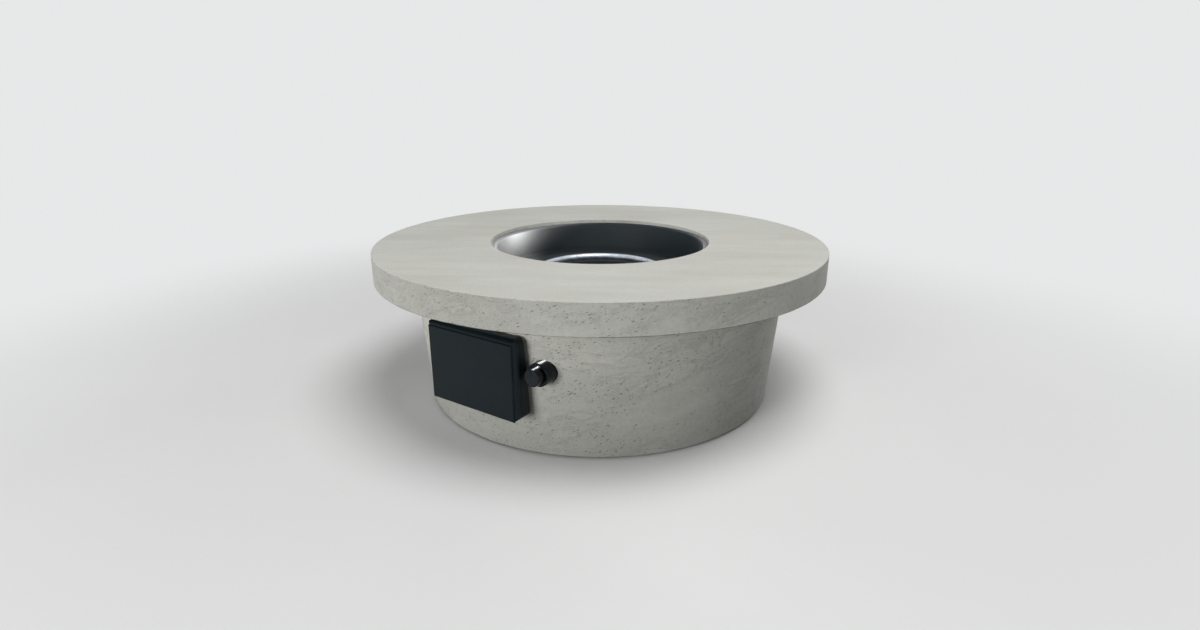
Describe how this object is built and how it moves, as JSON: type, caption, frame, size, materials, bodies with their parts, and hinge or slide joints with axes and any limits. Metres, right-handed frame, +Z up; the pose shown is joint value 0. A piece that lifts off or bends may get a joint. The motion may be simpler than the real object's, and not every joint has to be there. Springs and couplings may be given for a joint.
{
  "type": "fire pit table",
  "caption": "Round concrete gas fire pit table: thick slab with a drop-in burner pan and ring, on a tapered drum with a hinged control box, a push-and-turn gas knob and a rear gas inlet.",
  "frame": {"origin": "on the floor under the centre of the table, at the level of the foot pads' undersides", "axes": "+Z up; -Y towards the front with the control box; +X to the right seen from the front"},
  "size_m": [1.2198, 1.22, 0.418],
  "materials": {
    "concrete": "cast fibre concrete, pale warm grey, lightly troweled",
    "black_gloss": "glossy black enamel on sheet steel",
    "black_satin": "satin black powder coat",
    "stainless": "brushed stainless steel",
    "zinc_steel": "zinc plated steel",
    "brass": "machined brass",
    "black_rubber": "black rubber",
    "black_plastic": "moulded black plastic",
    "red_plastic": "moulded red plastic",
    "bright_trim": "bright plated ring",
    "lead_sleeve": "silicone sleeve",
    "ceramic": "glazed ceramic",
    "battery_case": "printed battery sleeve, left plain",
    "magnet": "ferrite magnet"
  },
  "bodies": {
    "table": {"table_top": "concrete", "top_inserts": "brass", "base_drum": "concrete", "seat_tape": "black_rubber", "top_bolts": "zinc_steel", "foot_pads": "black_rubber", "left_vent": "black_satin", "right_vent": "black_satin", "burner_pan": "black_gloss", "burner_ring": "stainless", "burner_crossbar": "stainless", "burner_nipple": "zinc_steel", "pan_locknuts": "zinc_steel", "air_mixer": "brass", "orifice_elbow": "brass", "feed_tube": "stainless", "feed_nuts": "brass", "electrode_bracket": "stainless", "electrode_insulator": "ceramic", "electrode_rod": "stainless", "ignition_lead": "lead_sleeve", "lead_grommet": "black_rubber", "control_plate": "zinc_steel", "spacer_tubes": "zinc_steel", "mounting_bolts": "zinc_steel", "mounting_nuts": "zinc_steel", "valve_body": "brass", "valve_panel_nut": "zinc_steel", "stem_spring": "stainless", "valve_collar": "black_satin", "collar_screws": "zinc_steel", "box_housing": "black_satin", "box_gasket": "black_rubber", "inner_panel": "zinc_steel", "hinge_pin": "zinc_steel", "catch_magnet": "magnet", "igniter_body": "black_plastic", "igniter_nut": "black_plastic", "igniter_bezel": "bright_trim", "button_spring": "stainless", "battery": "battery_case", "battery_spring": "stainless", "inlet_fitting": "brass", "inlet_locknut": "brass", "inlet_elbow": "brass", "supply_line": "stainless", "supply_nuts": "brass", "line_clips": "zinc_steel", "clip_screws": "zinc_steel"},
    "knob_slide": {"stem_washer": "zinc_steel"},
    "knob": {"valve_stem": "zinc_steel", "control_knob": "black_satin", "knob_screw": "zinc_steel"},
    "cover": {"box_cover": "black_satin"},
    "button": {"igniter_button": "red_plastic"},
    "shutter": {"air_shutter": "zinc_steel"}
  },
  "joints": [
    {"name": "knob_push", "type": "slide", "parent": "table", "child": "knob_slide", "axis": [0, 1, 0], "range_m": [0, 0.004], "stiffness_N_per_m": 1500, "springref_m": -0.003, "deforming": ["stem_spring"]},
    {"name": "knob_turn", "type": "hinge", "parent": "knob_slide", "child": "knob", "pos_m": [0.168, -0.5, 0.2195], "axis": [0, -1, 0], "range_deg": [0, 180]},
    {"name": "cover_hinge", "type": "hinge", "parent": "table", "child": "cover", "pos_m": [-0.1394, -0.5094, 0.1985], "axis": [0, 0, -1], "range_deg": [0, 110]},
    {"name": "igniter_push", "type": "slide", "parent": "table", "child": "button", "axis": [0, 1, 0], "range_m": [0, 0.0035], "stiffness_N_per_m": 800, "springref_m": -0.002, "deforming": ["button_spring"]},
    {"name": "shutter_turn", "type": "hinge", "parent": "table", "child": "shutter", "pos_m": [0, 0, 0.2505], "axis": [0, 0, 1], "range_deg": [-30, 30]}
  ]
}
